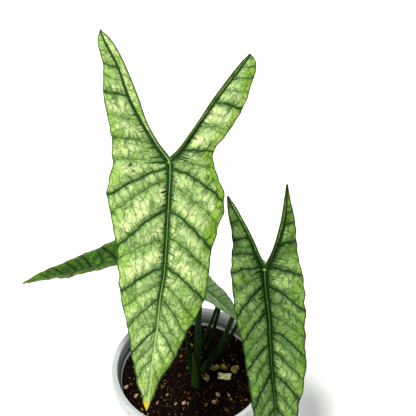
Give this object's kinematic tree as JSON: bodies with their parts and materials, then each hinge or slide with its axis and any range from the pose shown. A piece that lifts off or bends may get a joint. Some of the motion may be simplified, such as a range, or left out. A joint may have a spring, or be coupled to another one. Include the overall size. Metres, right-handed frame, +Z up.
{
  "type": "potted alocasia",
  "caption": "Arrow-leaved alocasia with silvery green, dark-veined leaves on slim stalks, growing in potting mix in a plain round nursery pot.",
  "frame": {"origin": "middle of the pad on the pot's underside, at the level that it stands on", "axes": "+Z up along the pot's axis; the leaves' faces look along -Y; +X to the right seen from the front"},
  "size_m": [0.1853, 0.1712, 0.3915],
  "materials": {
    "pot_plastic": "satin light grey polypropylene",
    "potting_mix": "damp, crumbly, dark brown",
    "root": "rough, pale brown",
    "leaf": "semi-gloss, quilted, silvery green with dark veins",
    "stalk": "smooth, semi-gloss green",
    "sheath": "thin, satin, yellow-green drying to brown",
    "wood_chip": "pale, fibrous, matt",
    "bark": "rough, yellow-brown",
    "grit": "light porous grit, matt"
  },
  "bodies": {
    "root": {"pot": "pot_plastic", "soil": "potting_mix", "rootstock": "root", "front_leaf_blade": "leaf", "right_leaf_blade": "leaf", "left_leaf_blade": "leaf", "back_leaf_blade": "leaf", "front_leaf_stalk": "stalk", "right_leaf_stalk": "stalk", "left_leaf_stalk": "stalk", "back_leaf_stalk": "stalk", "cut_stalk_1": "stalk", "cut_stalk_2": "stalk", "front_leaf_sheath": "sheath", "right_leaf_sheath": "sheath", "pale_wood_chip": "wood_chip", "bark_bit_1": "bark", "bark_bit_2": "bark", "bark_bit_3": "bark", "dry_husk": "bark", "grit_stone_1": "grit", "grit_stone_2": "grit", "grit_stone_3": "grit", "grit_stone_4": "grit", "grit_stone_5": "grit"}
  },
  "joints": []
}
